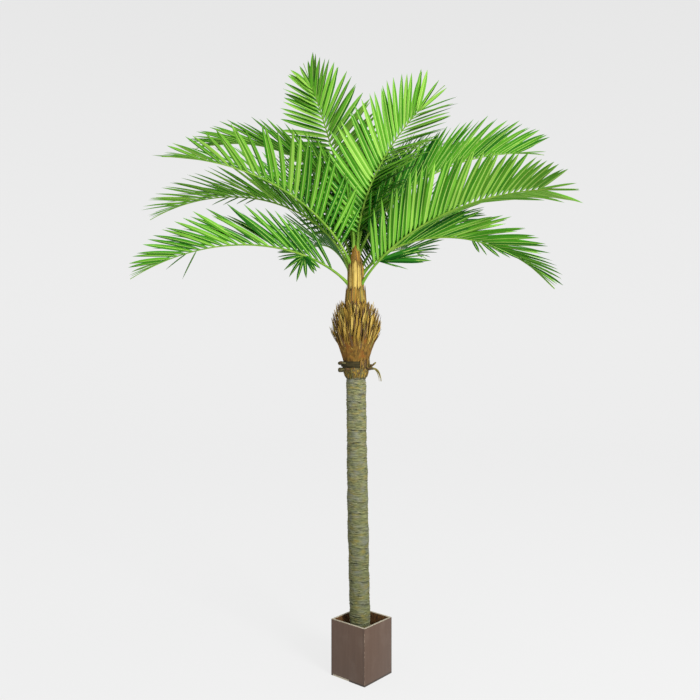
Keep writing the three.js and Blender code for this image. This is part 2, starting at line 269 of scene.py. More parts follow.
def bar_line(turn, reach, height, lean, length, width, bend=0.0, sway=0.0, twist=0.0):
    """A bar that stands on the palm and leans outward by an angle, up or, past 90, down."""
    foot, outward = on_trunk(turn, reach, height)
    sideways = np.array([-math.sin(turn), math.cos(turn), 0])
    along = unit(np.array([0, 0, 1]) * math.cos(lean) + outward * math.sin(lean) + sideways * sway)
    face = unit(outward - along * np.dot(outward, along))
    return (foot, along, face, length, width, face * bend, twist)


def slant(out, up):
    """The lean and the length of a bar whose tip is so far outward and so far up."""
    return math.atan2(out, up), math.hypot(out, up)


OVAL = [(1, 0), (0.5, 0.5), (-0.5, 0.5), (-1, 0), (-0.5, -0.5), (0.5, -0.5)]
FLAT = [(1, 0.05), (0.5, 0.3), (-0.5, 0.3), (-1, 0.05), (-0.5, -0.16), (0.5, -0.16)]
CHUNKY = [(1, 0.12), (0.55, 0.5), (-0.55, 0.5), (-1, 0.12), (-0.55, -0.4), (0.55, -0.4)]
GUTTER = [(1, 0.3), (0.5, 0.38), (-0.5, 0.38), (-1, 0.3), (-0.55, -0.3), (0.55, -0.3)]
KEELED = [(1, 0.36), (0.13, 0.04), (-0.13, 0.04), (-1, 0.36), (-0.1, -0.04), (0.1, -0.04)]

# %% [markdown]
# ## Finishes that more than one piece uses
#
# Bark, fibre and board all have grain: fine streaks that run one way. One node group makes
# it from noise on the object's own coordinates, stretched along the streaks. A group is
# built once and each material places it with its own values, so the grain stays alike and
# is easy to change. A second group of the same kind breaks a colour up with soft blotches.

# %%
# Helpers that keep the node trees short
def node(tree, kind, **values):
    """A node with its settings, and with values on its named inputs."""
    made = tree.nodes.new(kind)
    for key, value in values.items():
        if hasattr(made, key):
            setattr(made, key, value)
        else:
            made.inputs[key].default_value = value
    return made


def feed(tree, socket, value):
    """Links a socket to an input, or sets the input itself; a colour is three numbers."""
    if isinstance(value, bpy.types.NodeSocket):
        tree.links.new(value, socket)
    else:
        socket.default_value = (*value, 1.0) if socket.type == "RGBA" else value


def blend(tree, share, first, second):
    """Mixes two colours."""
    made = tree.nodes.new("ShaderNodeMix")
    made.data_type = "RGBA"
    for place, value in ((0, share), (6, first), (7, second)):
        feed(tree, made.inputs[place], value)
    return made.outputs[2]


def calculate(tree, operation, first, second=0.0):
    made = tree.nodes.new("ShaderNodeMath")
    made.operation = operation
    feed(tree, made.inputs[0], first)
    feed(tree, made.inputs[1], second)
    return made.outputs[0]


def between(tree, value, low, high):
    """Turns a value between low and high into 0 to 1."""
    made = tree.nodes.new("ShaderNodeMapRange")
    made.inputs[1].default_value = low
    made.inputs[2].default_value = high
    tree.links.new(value, made.inputs[0])
    return made.outputs[0]


def place_on(tree):
    """The place on the object, whole and as its three coordinates."""
    where = node(tree, "ShaderNodeTexCoord").outputs["Object"]
    apart = node(tree, "ShaderNodeSeparateXYZ")
    tree.links.new(where, apart.inputs[0])
    return where, *apart.outputs


# %%
# The two groups: noise that mixes a first colour with a second one
def noise_group(name, first, second, detail, roughness, shift):
    """Builds a group. Height is the noise itself, and Mask is the second colour's share."""
    tree = bpy.data.node_groups.new(name, "ShaderNodeTree")
    for label, kind, value in (
        (first, "NodeSocketColor", (0.1, 0.1, 0.1, 1)),
        (second, "NodeSocketColor", (0.5, 0.5, 0.5, 1)),
        ("Stretch", "NodeSocketVector", (10, 10, 10)),
        ("Low", "NodeSocketFloat", 0.3),
        ("High", "NodeSocketFloat", 0.7),
    ):
        socket = tree.interface.new_socket(name=label, in_out="INPUT", socket_type=kind)
        socket.default_value = value
    for label in ("Color", "Height", "Mask"):
        kind = "NodeSocketColor" if label == "Color" else "NodeSocketFloat"
        tree.interface.new_socket(name=label, in_out="OUTPUT", socket_type=kind)
    given, sent = tree.nodes.new("NodeGroupInput"), tree.nodes.new("NodeGroupOutput")
    place = node(tree, "ShaderNodeTexCoord")
    stretch = node(tree, "ShaderNodeMapping", Location=shift)
    cloud = node(tree, "ShaderNodeTexNoise", Scale=1.0, Detail=detail, Roughness=roughness)
    share = node(tree, "ShaderNodeMapRange")
    mixed = blend(tree, share.outputs[0], given.outputs[first], given.outputs[second])
    for source, target in (
        (place.outputs["Object"], stretch.inputs["Vector"]),
        (given.outputs["Stretch"], stretch.inputs["Scale"]),
        (stretch.outputs[0], cloud.inputs["Vector"]),
        (cloud.outputs[0], share.inputs[0]),
        (given.outputs["Low"], share.inputs[1]),
        (given.outputs["High"], share.inputs[2]),
        (mixed, sent.inputs["Color"]),
        (cloud.outputs[0], sent.inputs["Height"]),
        (share.outputs[0], sent.inputs["Mask"]),
    ):
        tree.links.new(source, target)
    return tree


grain_group = noise_group("streaked_grain", "Dark", "Light", 5.0, 0.62, (0, 0, 0))
blotch_group = noise_group("soft_blotches", "Base", "Blotch", 3.0, 0.55, (3.7, 1.9, 5.3))
print("Groups:", [group.name for group in bpy.data.node_groups])


# %%
# Start a material, place the groups in it, and coat it
def start_material(name, roughness, specular):
    material = bpy.data.materials.new(name)
    material.use_nodes = True
    tree = material.node_tree
    shader = tree.nodes["Principled BSDF"]
    shader.inputs["Roughness"].default_value = roughness
    shader.inputs["Specular IOR Level"].default_value = specular
    return material, tree, shader


def place_group(tree, group, **values):
    """Places a group; each value is a socket to link or a plain value."""
    made = tree.nodes.new("ShaderNodeGroup")
    made.node_tree = group
    for key, value in values.items():
        feed(tree, made.inputs[key], value)
    return made


def streaks(tree, dark, light, stretch, low=0.3, high=0.7):
    return place_group(tree, grain_group, Dark=dark, Light=light, Stretch=stretch, Low=low, High=high)


def blotches(tree, base, blotch, stretch, low, high):
    return place_group(tree, blotch_group, Base=base, Blotch=blotch, Stretch=stretch, Low=low, High=high)


def coat(tree, shader, colours, height, relief):
    """Gives a shader its colour and, unless it is flat, its relief."""
    tree.links.new(colours, shader.inputs["Base Color"])
    if relief:
        made = node(tree, "ShaderNodeBump", Distance=relief, Strength=1.0)
        tree.links.new(height, made.inputs["Height"])
        tree.links.new(made.outputs[0], shader.inputs["Normal"])


def blotched_material(name, roughness, specular, base, blotch, stretch, low, high, relief=0.0):
    """A plain colour with soft blotches of another, which may stand out a little."""
    material, tree, shader = start_material(name, roughness, specular)
    made = blotches(tree, base, blotch, stretch, low, high)
    coat(tree, shader, made.outputs["Color"], made.outputs["Mask"], relief)
    return material


def fibre_material(name, dark, light, stretch):
    """Dry fibre: streaks along it, a few soft blotches of its dark colour, and relief."""
    material, tree, shader = start_material(name, 0.85, 0.25)
    streaked = streaks(tree, dark, light, stretch)
    blotched = blotches(tree, streaked.outputs["Color"], dark, (30, 30, 22), 0.56, 0.8)
    coat(tree, shader, blotched.outputs["Color"], streaked.outputs["Height"], 1.2 * MM)
    return material


# %% [markdown]
# ## The box
#
# The box is four boards and a floor, butted at the corners, of pressed board with a brown
# laminate on the outside. The sawn rim is left raw, so it reads as a cream line, and the
# laminate has chipped off along the foot of one side. Each board is a cube with bevelled
# edges. Real boards with real joints are better than one block here, because the joint
# beside the front corner and the raw rim can be seen.

# %%
# Sizes of the box, and its boards
BOX_HALF = 104 * MM
BOX_HEIGHT = 272 * MM
BOARD = 10 * MM
JOINT = 0.25 * MM
EDGE_BEVEL = 0.9 * MM
INNER = BOX_HALF - BOARD
# Which finish a face has: the laminate is 0
RAW_RIM, INSIDE = 1, 2

boards = bmesh.new()


def add_board(low, high):
    low, high = Vector(low), Vector(high)
    place = Matrix.Translation((low + high) / 2) @ Matrix.Diagonal((*(high - low), 1))
    bmesh.ops.create_cube(boards, size=1, matrix=place)


def bevel_edges(edges, offset, segments):
    """Bevels some edges of the boards and gives back the corners of the new faces."""
    made = bmesh.ops.bevel(
        boards,
        geom=edges,
        offset=offset,
        affect="EDGES",
        segments=segments,
        profile=0.5,
        material=-1,
        clamp_overlap=True,
    )
    return {vert for face in made["faces"] for vert in face.verts}


for hand in (-1, 1):
    near, far = sorted((hand * INNER, hand * BOX_HALF))
    add_board((near, -BOX_HALF, 0), (far, BOX_HALF, BOX_HEIGHT))
    add_board((-INNER + JOINT, near, 0), (INNER - JOINT, far, BOX_HEIGHT))
add_board((-INNER + JOINT, -INNER + JOINT, 0.5 * MM), (INNER - JOINT, INNER - JOINT, BOARD))
print("Boards:", len(boards.verts) // 8)

# %%
# Chips along the foot of the side that faces the photographer's left
CHIP_TO = 10 * MM
CHIP_STEPS = 40
CHIP_DEPTH = 1.5 * MM
CHIP_HEIGHT = 8 * MM
CHIP_PLAY = 2.4 * MM


def is_chipped_edge(edge):
    return all(v.co.z < 1e-6 and abs(v.co.y + BOX_HALF) < 1e-6 and abs(v.co.x) < INNER for v in edge.verts)


long_edge = [edge for edge in boards.edges if is_chipped_edge(edge)]
bmesh.ops.subdivide_edges(boards, edges=long_edge, cuts=CHIP_STEPS)
chipped = [e for e in boards.edges if is_chipped_edge(e) and max(v.co.x for v in e.verts) < CHIP_TO]
chip_corners = bevel_edges(chipped, CHIP_HEIGHT, 1)
for vert in chip_corners:
    if vert.co.z > 1 * MM:
        vert.co.z += CHIP_PLAY * noise.noise(Vector((vert.co.x * 160, 0, 4)))
    elif vert.co.y > -BOX_HALF + 1e-5:
        vert.co.y = -BOX_HALF + CHIP_DEPTH
print("Corners of the chips:", len(chip_corners))

# %%
# Bevel the long edges, then tell raw rim, inside and laminate apart
sharp = [
    e for e in boards.edges
    if e.is_manifold and e.calc_face_angle() > 1.2
    and not set(e.verts) & chip_corners and e.calc_length() > 10 * MM
]
bevel_edges(sharp, EDGE_BEVEL, 2)
for face in boards.faces:
    middle = face.calc_center_median()
    near_foot = all(vert.co.z < CHIP_HEIGHT + 3 * MM for vert in face.verts)
    if middle.z > BOX_HEIGHT - 0.8 * MM:
        face.material_index = RAW_RIM
    elif max(abs(middle.x), abs(middle.y)) < INNER + 0.5 * MM:
        face.material_index = INSIDE
    elif near_foot and face.normal.y < -0.3 and face.normal.z < -0.1 and middle.x < CHIP_TO:
        face.material_index = RAW_RIM
bmesh.ops.recalc_face_normals(boards, faces=boards.faces)
print("Faces of raw board:", sum(face.material_index == RAW_RIM for face in boards.faces))

# %%
# Laminate: brown, faint upright grain, rubbed pale at the corners, painted shade at the foot and far sides
RUBBED_CORNER = (BOX_HALF - 2.6 * MM, BOX_HALF - 0.4 * MM)
DARK_FOOT = (11 * MM, 6 * MM)
DARK_EDGE = (BOX_HALF - 4.5 * MM, BOX_HALF - 1.5 * MM)
DARK_SHARE = 0.8

laminate, tree, shader = start_material("brown_laminate", 0.42, 0.45)
grained = streaks(tree, (0.082, 0.047, 0.030), (0.101, 0.060, 0.040), (70, 70, 3.5), 0.25, 0.75)
scuffed = blotches(tree, grained.outputs["Color"], (0.125, 0.085, 0.062), (14, 14, 9), 0.5, 0.95)
where, place_x, place_y, place_z = place_on(tree)
aside = calculate(tree, "ABSOLUTE", place_x)
ahead = calculate(tree, "ABSOLUTE", place_y)
corner = between(tree, calculate(tree, "MINIMUM", aside, ahead), *RUBBED_CORNER)
# Painted shade: the foot, the two sides turned from the key lamp and a strip beside their corners darken to
# near black
foot = between(tree, place_z, *DARK_FOOT)
outer = calculate(tree, "MAXIMUM", calculate(tree, "MULTIPLY", place_x, -1), place_y)
outer_edge = between(tree, outer, *DARK_EDGE)
shaded = calculate(tree, "MULTIPLY", calculate(tree, "MAXIMUM", foot, outer_edge), DARK_SHARE)
rubbed = node(tree, "ShaderNodeTexNoise", Scale=95.0, Detail=4.0)
tree.links.new(where, rubbed.inputs["Vector"])
worn = calculate(tree, "MULTIPLY", corner, between(tree, rubbed.outputs[0], 0.48, 0.62))
worn_colour = blend(tree, worn, scuffed.outputs["Color"], (0.27, 0.2, 0.14))
laminate_with_painted_shade = blend(tree, shaded, worn_colour, (0.03, 0.022, 0.015))
coat(tree, shader, laminate_with_painted_shade, grained.outputs["Height"], 0.15 * MM)
print("Nodes in the laminate:", len(tree.nodes))

# %%
# Raw pressed board: chips of wood, cream on the rim and darker inside
raw_rim = blotched_material(
    "raw_board_rim", 0.85, 0.25, (0.47, 0.43, 0.34), (0.30, 0.24, 0.15), (240, 240, 240), 0.48, 0.66, 0.3 * MM
)
inside_board = blotched_material(
    "inside_board", 0.8, 0.2, (0.13, 0.06, 0.018), (0.04, 0.02, 0.01), (110, 110, 60), 0.42, 0.68, 0.4 * MM
)
finish_piece(
    "planter_boards",
    to_mesh(boards, "planter_boards"),
    [laminate, raw_rim, inside_board],
    ["planter_box"],
    turned=False,
    crease=25,
)

# %% [markdown]
# ## The fill of the box
#
# Artificial trees are set in plaster or cement that is poured into the box, with crumbs of
# bark strewn on it. It lies in deep shade, but shows from above. The top is a grid pushed
# up and down by noise; its border is extruded down to the floor and closed.

# %%
# The poured fill
FILL_TOP = 150 * MM
FILL_HALF = INNER - 0.5 * MM

fill = bmesh.new()
bmesh.ops.create_grid(fill, x_segments=44, y_segments=44, size=FILL_HALF)
for vert in fill.verts:
    spot = vert.co
    vert.co.z = FILL_TOP - 3 * MM + 3.5 * MM * noise.noise(spot * 22) + 1.2 * MM * noise.noise(spot * 90)
border = [edge for edge in fill.edges if edge.is_boundary]
skirt = bmesh.ops.extrude_edge_only(fill, edges=border)["geom"]
for vert in skirt:
    if isinstance(vert, bmesh.types.BMVert):
        vert.co.z = BOARD + 0.3 * MM
bmesh.ops.holes_fill(fill, edges=[edge for edge in fill.edges if edge.is_boundary])
bmesh.ops.recalc_face_normals(fill, faces=fill.faces)

plaster = blotched_material(
    "poured_fill", 0.95, 0.2, (0.24, 0.19, 0.14), (0.13, 0.095, 0.065), (60, 60, 60), 0.4, 0.7, 0.8 * MM
)
fill_mesh = to_mesh(fill, "fill")
finish_piece("planter_fill_surface", fill_mesh, [plaster], ["planter_fill"], turned=False)

# %%
# Crumbs of bark strewn on the fill, clear of its border and of the trunk
CRUMBS = 330
CRUMB_SPREAD = FILL_HALF - 12 * MM
TRUNK_CLEARANCE = 47 * MM
crumb_lines = []
while len(crumb_lines) < CRUMBS:
    x, y = vary(-CRUMB_SPREAD, CRUMB_SPREAD, 2)
    if math.hypot(x - axis_x(FILL_TOP), y) > TRUNK_CLEARANCE:
        turn = vary(0, FULL_TURN)
        tilt = vary(-0.3, 0.45)
        level = np.array([math.cos(turn), math.sin(turn), 0])
        along = level * math.cos(tilt) + np.array([0, 0, math.sin(tilt)])
        face = level * -math.sin(tilt) + np.array([0, 0, math.cos(tilt)])
        foot = np.array([x, y, FILL_TOP + vary(-3, 2.5) * MM])
        length, width = vary(8, 20) * MM, vary(5, 11) * MM
        crumb_lines.append((foot, along, face, length, width, np.zeros(3), vary(-1, 1)))
crumb_outline = ([0, 0.15, 0.6, 1], [0.3, 0.9, 1, 0.35])
crumb_tones = [
    fibre_material("bark_crumb_dark", (0.03, 0.018, 0.01), (0.09, 0.05, 0.025), (90, 90, 90)),
    fibre_material("bark_crumb_light", (0.09, 0.05, 0.025), (0.2, 0.12, 0.06), (90, 90, 90)),
]
crumb_mesh = joined("crumbs", 3, OVAL, crumb_outline, crumb_lines, lambda line, side: line % 2)
finish_piece("bark_crumbs", crumb_mesh, crumb_tones, turned=False)

# %% [markdown]
# ## The trunk
#
# The trunk is a tube wrapped in mats of bark fibre. Every wrap leaves a ring, most of them
# faint and a few deep, that wanders up and down as it goes round. A bump map alone would
# leave the outline straight, so the rings are in the mesh: a drum with a ring of corners
# every 2 mm, pushed in and out. The depth of each ring is also stored on the corners, as an
# attribute, so the painted shade of the grooves and the painted highlight of the lips fall
# exactly into the rings.

# %%
# Where the rings are, and how deep
TRUNK_FOOT = FILL_TOP - 7 * MM
TRUNK_TOP = 1446 * MM
TRUNK_SIDES = 96
TRUNK_RINGS = 620
TRUNK_PROFILE = profile((150, 793, 1436), (48.6, 50.2, 46.8))
RING_STEP = (7, 14)
DEEP_EVERY = (4, 10)

ring_heights = [TRUNK_FOOT - 5 * MM]
while ring_heights[-1] < TRUNK_TOP + 10 * MM:
    ring_heights.append(ring_heights[-1] + vary(*RING_STEP) * MM)
ring_heights = np.array(ring_heights)
deep = np.zeros(len(ring_heights), dtype=bool)
next_deep = 3
while next_deep < len(deep):
    deep[next_deep] = True
    next_deep += int(dice.integers(*DEEP_EVERY))
ring_depth = np.where(deep, vary(0.85, 1.0, len(deep)), vary(0.2, 0.5, len(deep)))
print("Rings on the trunk:", len(ring_heights), "of which deep:", int(deep.sum()))


# %%
# How far each point of the bark stands out
def ring_places(angle):
    """The height of each ring at each of the trunk's sides: rings wander by a few millimetres."""
    sides = np.unique(np.round(angle, 4))
    wander = np.empty((len(ring_heights), len(sides)))
    for i in range(len(ring_heights)):
        for j, turn in enumerate(sides):
            spot = Vector((math.cos(turn) * 0.9, math.sin(turn) * 0.9, i * 3.1))
            fine = Vector((math.cos(turn) * 4, math.sin(turn) * 4, i * 5.7))
            wander[i, j] = ring_heights[i] + 8 * MM * noise.noise(spot) + 2.2 * MM * noise.noise(fine)
    return sides, np.sort(wander, axis=0)


def bark_rings(angle, height):
    """For each point: how far up its ring it is, the groove under and over it, and the ring's lip."""
    sides, places = ring_places(angle)
    column = np.searchsorted(sides, np.round(angle, 4))
    share = np.zeros(len(angle))
    groove = np.zeros(len(angle))
    lip = np.zeros(len(angle))
    for j in range(len(sides)):
        mine = np.where(column == j)[0]
        ring = np.clip(np.searchsorted(places[:, j], height[mine]) - 1, 0, len(ring_heights) - 2)
        low, high = places[ring, j], places[ring + 1, j]
        share[mine] = (height[mine] - low) / np.maximum(high - low, 1e-6)
        depth_low, depth_high = ring_depth[ring], ring_depth[ring + 1]
        below = np.exp(-(((height[mine] - low) / ((1.2 + 1.4 * depth_low) * MM)) ** 2)) * depth_low
        above = np.exp(-(((high - height[mine]) / ((1.4 + 3.4 * depth_high) * MM)) ** 2)) * depth_high
        groove[mine] = np.maximum(below, above)
        lip[mine] = np.exp(-(((height[mine] - low - 3.4 * MM) / (2.0 * MM)) ** 2)) * ring_depth[ring]
    return share, groove, lip


bark_marks = {}


def bark_radius(angle, height):
    """The trunk's outline with its rings, and with fibres and lumps that break them up."""
    share, groove, lip = bark_rings(angle, height)
    fibres = grain(angle, height, 2.2, 260, 0) * 0.55 + grain(angle, height, 6, 120, 40) * 0.45
    lumps = grain(angle, height, 1.6, 26, 7)
    patchy = np.clip(0.6 + 2.0 * grain(angle, height, 1.9, 30, 19), 0.05, 1)
    bark_marks["groove"] = groove = groove * patchy
    bark_marks["lip"] = lip = lip * patchy
    relief = 1.8 * (0.5 - share) + 2.2 * lip - 3.8 * groove + 1.8 * fibres + 3.8 * lumps
    return np.interp(height, *TRUNK_PROFILE) + relief * MM


trunk_mesh = skin("trunk_bark", TRUNK_SIDES, TRUNK_RINGS, TRUNK_FOOT, TRUNK_TOP, bark_radius)
for mark, values in bark_marks.items():
    attribute = trunk_mesh.attributes.new("bark_" + mark, "FLOAT", "POINT")
    attribute.data.foreach_set("value", values.astype(np.float32))
print("Deepest groove:", round(float(bark_marks["groove"].max()), 2))

# %%
# Bark: grey-green fibre, ochre patches, painted shade in grooves, painted highlight on lips, darker to the
# foot
FADE_HEIGHTS = (1.35, 0.2)
FADE_SHARE = 0.38

bark, tree, shader = start_material("ringed_bark", 0.88, 0.2)
base = streaks(tree, (0.038, 0.048, 0.018), (0.275, 0.282, 0.132), (38, 38, 240), 0.33, 0.67)
ochre = blotches(tree, base.outputs["Color"], (0.27, 0.205, 0.045), (22, 22, 60), 0.5, 0.8)
ash = blotches(tree, ochre.outputs["Color"], (0.19, 0.20, 0.175), (22, 22, 40), 0.48, 0.8)
groove = node(tree, "ShaderNodeAttribute", attribute_name="bark_groove")
lip = node(tree, "ShaderNodeAttribute", attribute_name="bark_lip")
lip_share = calculate(tree, "MULTIPLY", lip.outputs["Fac"], 0.5)
groove_share = calculate(tree, "MULTIPLY", groove.outputs["Fac"], 0.9)
# Painted highlight on the ring lips and painted shade in the grooves, read from the attributes
lit = blend(tree, lip_share, ash.outputs["Color"], (0.38, 0.36, 0.25))
painted_groove_shade = blend(tree, groove_share, lit, (0.016, 0.020, 0.014))
*_, place_z = place_on(tree)
low_down = calculate(tree, "MULTIPLY", between(tree, place_z, *FADE_HEIGHTS), FADE_SHARE)
# The bark grows darker towards the foot
darker_towards_foot = blend(tree, low_down, painted_groove_shade, (0.05, 0.06, 0.016))
coat(tree, shader, darker_towards_foot, base.outputs["Height"], 1.1 * MM)
finish_piece("trunk_bark", trunk_mesh, [bark], ["trunk"], crease=60)

# %%
# Frayed fibres that stand a little off the rings
FRAYS = 420
fray_lines = []
for _ in range(FRAYS):
    ring = int(dice.integers(2, len(ring_heights) - 3))
    height = ring_heights[ring] + vary(-3, 6) * MM
    if TRUNK_FOOT + 12 * MM < height < TRUNK_TOP - 15 * MM:
        turn = vary(0, FULL_TURN)
        reach = np.interp(height, *TRUNK_PROFILE) + 0.2 * MM
        foot, outward = on_trunk(turn, reach, height)
        tangent = np.array([-math.sin(turn), math.cos(turn), 0]) * dice.choice([-1, 1])
        along = unit(tangent * 0.97 + outward * vary(0.08, 0.3) + np.array([0, 0, vary(-0.35, 0.2)]))
        face = unit(np.cross(along, np.array([0, 0, 1.0])))
        length = vary(9, 26) * MM
        bend = -outward * length**2 / (2.2 * reach)
        fray_lines.append((foot, along, face, length, vary(0.8, 2.0) * MM, bend, 0.0))
fray_outline = ([0, 0.3, 1], [1, 0.8, 0.15])
fray_tones = [
    fibre_material("fray_pale", (0.28, 0.27, 0.16), (0.5, 0.46, 0.3), (80, 80, 80)),
    fibre_material("fray_green", (0.12, 0.13, 0.07), (0.26, 0.27, 0.16), (80, 80, 80)),
]
fray_mesh = joined("frays", 3, OVAL, fray_outline, fray_lines, lambda line, side: line % 2)
finish_piece("bark_frays", fray_mesh, fray_tones)

# %% [markdown]
# ## The collar
#
# Over the top of the trunk sits a ragged collar. Its lower part is a cone of golden fibre
# that ends in torn points on the bark. A dark leathery band lies on top, with blunt flakes
# that stand off it, and one long strip curls down on one side. The cone and the band are
# skins. Torn strips are laid on the cone and, on one side, over the band.

# %%
# Tones of fibre, from pale straw to nearly black
FIBRE_TONES = {
    "fibre_straw": ((0.31, 0.21, 0.045), (0.66, 0.48, 0.12)),
    "fibre_gold": ((0.17, 0.10, 0.012), (0.46, 0.29, 0.045)),
    "fibre_tan": ((0.09, 0.05, 0.008), (0.29, 0.17, 0.03)),
    "fibre_umber": ((0.05, 0.028, 0.012), (0.16, 0.09, 0.035)),
    "fibre_moss": ((0.05, 0.045, 0.018), (0.16, 0.135, 0.055)),
    "fibre_orange": ((0.20, 0.092, 0.010), (0.42, 0.225, 0.038)),
    "fibre_olive": ((0.10, 0.085, 0.014), (0.30, 0.245, 0.055)),
}
STRAW, GOLD, TAN, UMBER, MOSS, ORANGE, OLIVE = range(len(FIBRE_TONES))
fibre_tones = [fibre_material(name, dark, light, (60, 60, 9)) for name, (dark, light) in FIBRE_TONES.items()]
print("Tones of fibre:", len(fibre_tones))

# %%
# The outline of the cup above the collar, and the collar's cone and dark band
CUP_PROFILE = profile(
    (1500, 1510, 1545, 1575, 1600, 1630, 1650, 1700, 1756, 1806), (56, 59, 69, 79, 88, 96, 94, 82, 64, 49)
)
COLLAR_PROFILE = profile((1432, 1440, 1462, 1486, 1490), (46.8, 50, 59, 62, 60))
BAND_PROFILE = profile((1482, 1486, 1496, 1507, 1515, 1517), (60, 66, 67.5, 65, 62, 57))

cone_grains = [(9, 14, 0, 1.8), (22, 30, 9, 0.9)]
collar_mesh = rough_skin("collar_cone", 96, 24, 1433, 1490, COLLAR_PROFILE, cone_grains)
finish_piece("collar_cone", collar_mesh, [fibre_tones[MOSS]], ["fibre_collar"], crease=50)

band_grains = [(5, 70, 0, 2.2), (16, 40, 3, 1.0)]
band_mesh = rough_skin("collar_band", 96, 18, 1482, 1517, BAND_PROFILE, band_grains)
dark_band = fibre_material("leathery_band", (0.016, 0.013, 0.004), (0.06, 0.047, 0.014), (14, 14, 120))
finish_piece("collar_band", band_mesh, [dark_band], crease=50)

# %%
# Torn strips all round the cone, and longer ones from the cup down over the band on one side
TORN_STRIPS = 330
SIDE_STRIPS = 34
SIDE_FROM, SIDE_SPREAD = 280, 74
BAND_REACH = 70 * MM
collar_lines = []
collar_tone = []
for i in range(TORN_STRIPS):
    turn = FULL_TURN * (i + vary(-0.4, 0.4)) / TORN_STRIPS * 3
    start = vary(1450, 1489) * MM
    reach = np.interp(start, *COLLAR_PROFILE) + vary(0.3, 2.6) * MM
    lean = math.radians(180 + vary(12, 30))
    length = min(vary(14, 34) * MM, (start - vary(1427, 1440) * MM) / math.cos(lean - math.pi))
    sway = vary(-0.5, 0.5)
    collar_lines.append(bar_line(turn, reach, start, lean, length, vary(3, 6.5) * MM, 0, sway))
    collar_tone.append(deal([GOLD, OLIVE, OLIVE, TAN, TAN, TAN, MOSS, UMBER]))
for _ in range(SIDE_STRIPS):
    turn = math.radians(SIDE_FROM + SIDE_SPREAD * math.sqrt(vary(0, 1)))
    start, end = vary(1508, 1540) * MM, vary(1474, 1504) * MM
    reach = np.interp(start, *CUP_PROFILE)
    lean, length = slant(BAND_REACH - reach, end - start)
    width = vary(4, 8) * MM
    collar_lines.append(bar_line(turn, reach, start, lean, length, width, 0, vary(-0.3, 0.3)))
    collar_tone.append(deal([OLIVE, TAN, TAN, UMBER, UMBER]))
strip_outline = ([0, 0.12, 0.55, 0.85, 1], [0.75, 1, 0.95, 0.55, 0.12])
torn = joined("torn", 4, FLAT, strip_outline, collar_lines, lambda line, side: collar_tone[line])
finish_piece("collar_strips", torn, fibre_tones)

# %%
# The flakes: where the photograph shows one it has its own place, the rest go all round.
# Each has its turn, reach, height, lean, length and width
FLAKES = [
    (184, 56, 1504, 78, 31, 27), (200, 57, 1507, 72, 27, 22), (180, 58, 1474, 88, 29, 24),
    (205, 60, 1472, 94, 22, 20), (0, 60, 1476, 42, 50, 20), (-16, 60, 1476, 66, 28, 20),
    (22, 60, 1490, 60, 24, 20), (236, 60, 1476, 70, 24, 20), (214, 61, 1506, 70, 20, 22),
    (345, 60, 1484, 52, 34, 14), (60, 60, 1492, 66, 26, 22), (92, 62, 1486, 74, 22, 24),
    (120, 60, 1496, 62, 26, 22), (145, 62, 1490, 70, 24, 20), (40, 58, 1500, 50, 22, 18),
    (330, 60, 1478, 64, 22, 16),
]
FLAKE_TONES = [MOSS, UMBER, MOSS, MOSS, OLIVE, MOSS, OLIVE, UMBER]
flake_lines = []
for turn, reach, height, lean, length, width in FLAKES:
    foot = (math.radians(turn), reach * MM, height * MM, math.radians(lean))
    flake_lines.append(bar_line(*foot, length * MM, width * MM, 4 * MM, 0.1))
flake_outline = ([0, 0.2, 0.75, 0.92, 1], [0.8, 0.95, 1, 0.92, 0.55])
flakes = joined("flakes", 6, CHUNKY, flake_outline, flake_lines, lambda line, side: FLAKE_TONES[line % 8])
finish_piece("collar_flakes", flakes, fibre_tones)


# %%
# The long strip that curls down: three strands side by side, each a curve whose radius narrows
def new_curve(name):
    curve = bpy.data.curves.new(name, "CURVE")
    curve.dimensions = "3D"
    curve.bevel_depth = 1.0
    curve.bevel_resolution = 2
    curve.resolution_u = 8
    curve.use_fill_caps = True
    return curve


def curve_mesh(curve):
    """Makes a mesh of a curve, and removes the curve's object."""
    holder = bpy.data.objects.new(curve.name, curve)
    bpy.context.scene.collection.objects.link(holder)
    seen = holder.evaluated_get(bpy.context.evaluated_depsgraph_get())
    mesh = bpy.data.meshes.new_from_object(seen)
    bpy.data.objects.remove(holder)
    return mesh


CURL_FOOT = 52
CURL_HEIGHT = 1.46
CURL_PATH = [(CURL_FOOT, 1474), (86, 1484), (108, 1474), (118, 1448), (123.5, 1418)]
CURL_NARROWS = 0.86
# Each strand's place across the strip, its thickness, and its share of the strip's reach
STRANDS = ((0, 6.5, 1.0), (7, 4.4, 0.94), (-7, 4.0, 0.85))
curl = new_curve("curl")
for across, thick, share_out in STRANDS:
    spline = curl.splines.new("NURBS")
    spline.points.add(len(CURL_PATH) - 1)
    spline.use_endpoint_u = True
    spline.order_u = 4
    for i, (x, z) in enumerate(CURL_PATH):
        share = i / (len(CURL_PATH) - 1)
        x = CURL_FOOT + (x - CURL_FOOT) * share_out
        spline.points[i].co = (x * MM, (across * (1 - share)) * MM, z * MM, 1)
        spline.points[i].radius = thick * MM * (1 - CURL_NARROWS * share)
curl_mesh = curve_mesh(curl)
curl_mesh.transform(Matrix.Translation((float(axis_x(CURL_HEIGHT)), 0, 0)))
finish_piece("collar_curl", curl_mesh, [fibre_tones[OLIVE]])
